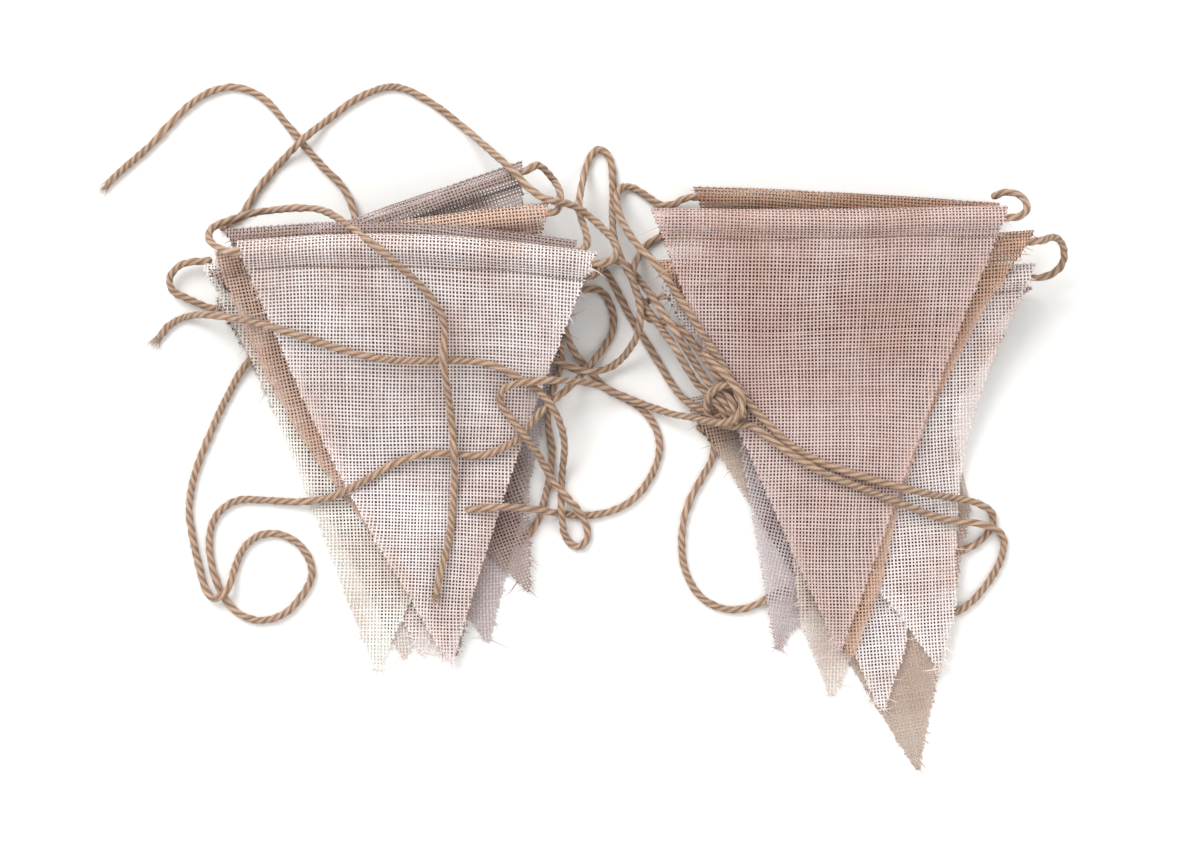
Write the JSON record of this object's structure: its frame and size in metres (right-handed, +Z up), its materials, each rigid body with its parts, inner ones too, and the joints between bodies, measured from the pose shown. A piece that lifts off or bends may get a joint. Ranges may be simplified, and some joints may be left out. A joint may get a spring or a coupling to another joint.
{
  "type": "fabric bunting",
  "caption": "Fabric bunting: woven triangular pennants with sewn casings on one jute twine, lying folded in two stacks with the twine loose between them.",
  "frame": {"origin": "centre of the cloth's bounding box, on the surface it lies on", "axes": "+X to the right of the picture, from the left stack to the right one; +Y from the tips to the hems; +Z up from the surface"},
  "size_m": [0.3987, 0.2852, 0.061],
  "materials": {
    "cloth_white": "woven, rough",
    "cloth_cream": "woven, rough",
    "cloth_lilac": "woven, rough",
    "cloth_mauve": "woven, rough",
    "cloth_brown": "woven, rough",
    "twine": "twisted natural fibre"
  },
  "bodies": {
    "root": {"left_1": "cloth_lilac", "left_2": "cloth_white", "left_3": "cloth_lilac", "left_4": "cloth_cream", "left_5": "cloth_mauve", "left_6": "cloth_brown", "left_7": "cloth_mauve", "left_8": "cloth_white", "right_1": "cloth_brown", "right_2": "cloth_lilac", "right_3": "cloth_cream", "right_4": "cloth_brown", "right_5": "cloth_white", "right_6": "cloth_white", "right_7": "cloth_brown", "right_8": "cloth_mauve", "twine_far": "twine", "twine_curl": "twine", "twine_link_low": "twine", "twine_link_mid": "twine", "twine_ring": "twine", "twine_corner": "twine", "twine_tall": "twine", "twine_arc": "twine", "twine_zigzag": "twine", "twine_tie": "twine", "twine_hanging": "twine", "twine_base": "twine", "twine_back": "twine", "twine_lead": "twine", "twine_fill": "twine", "twine_side_low": "twine", "twine_side_mid": "twine", "twine_side_top": "twine", "twine_top": "twine"}
  },
  "joints": []
}
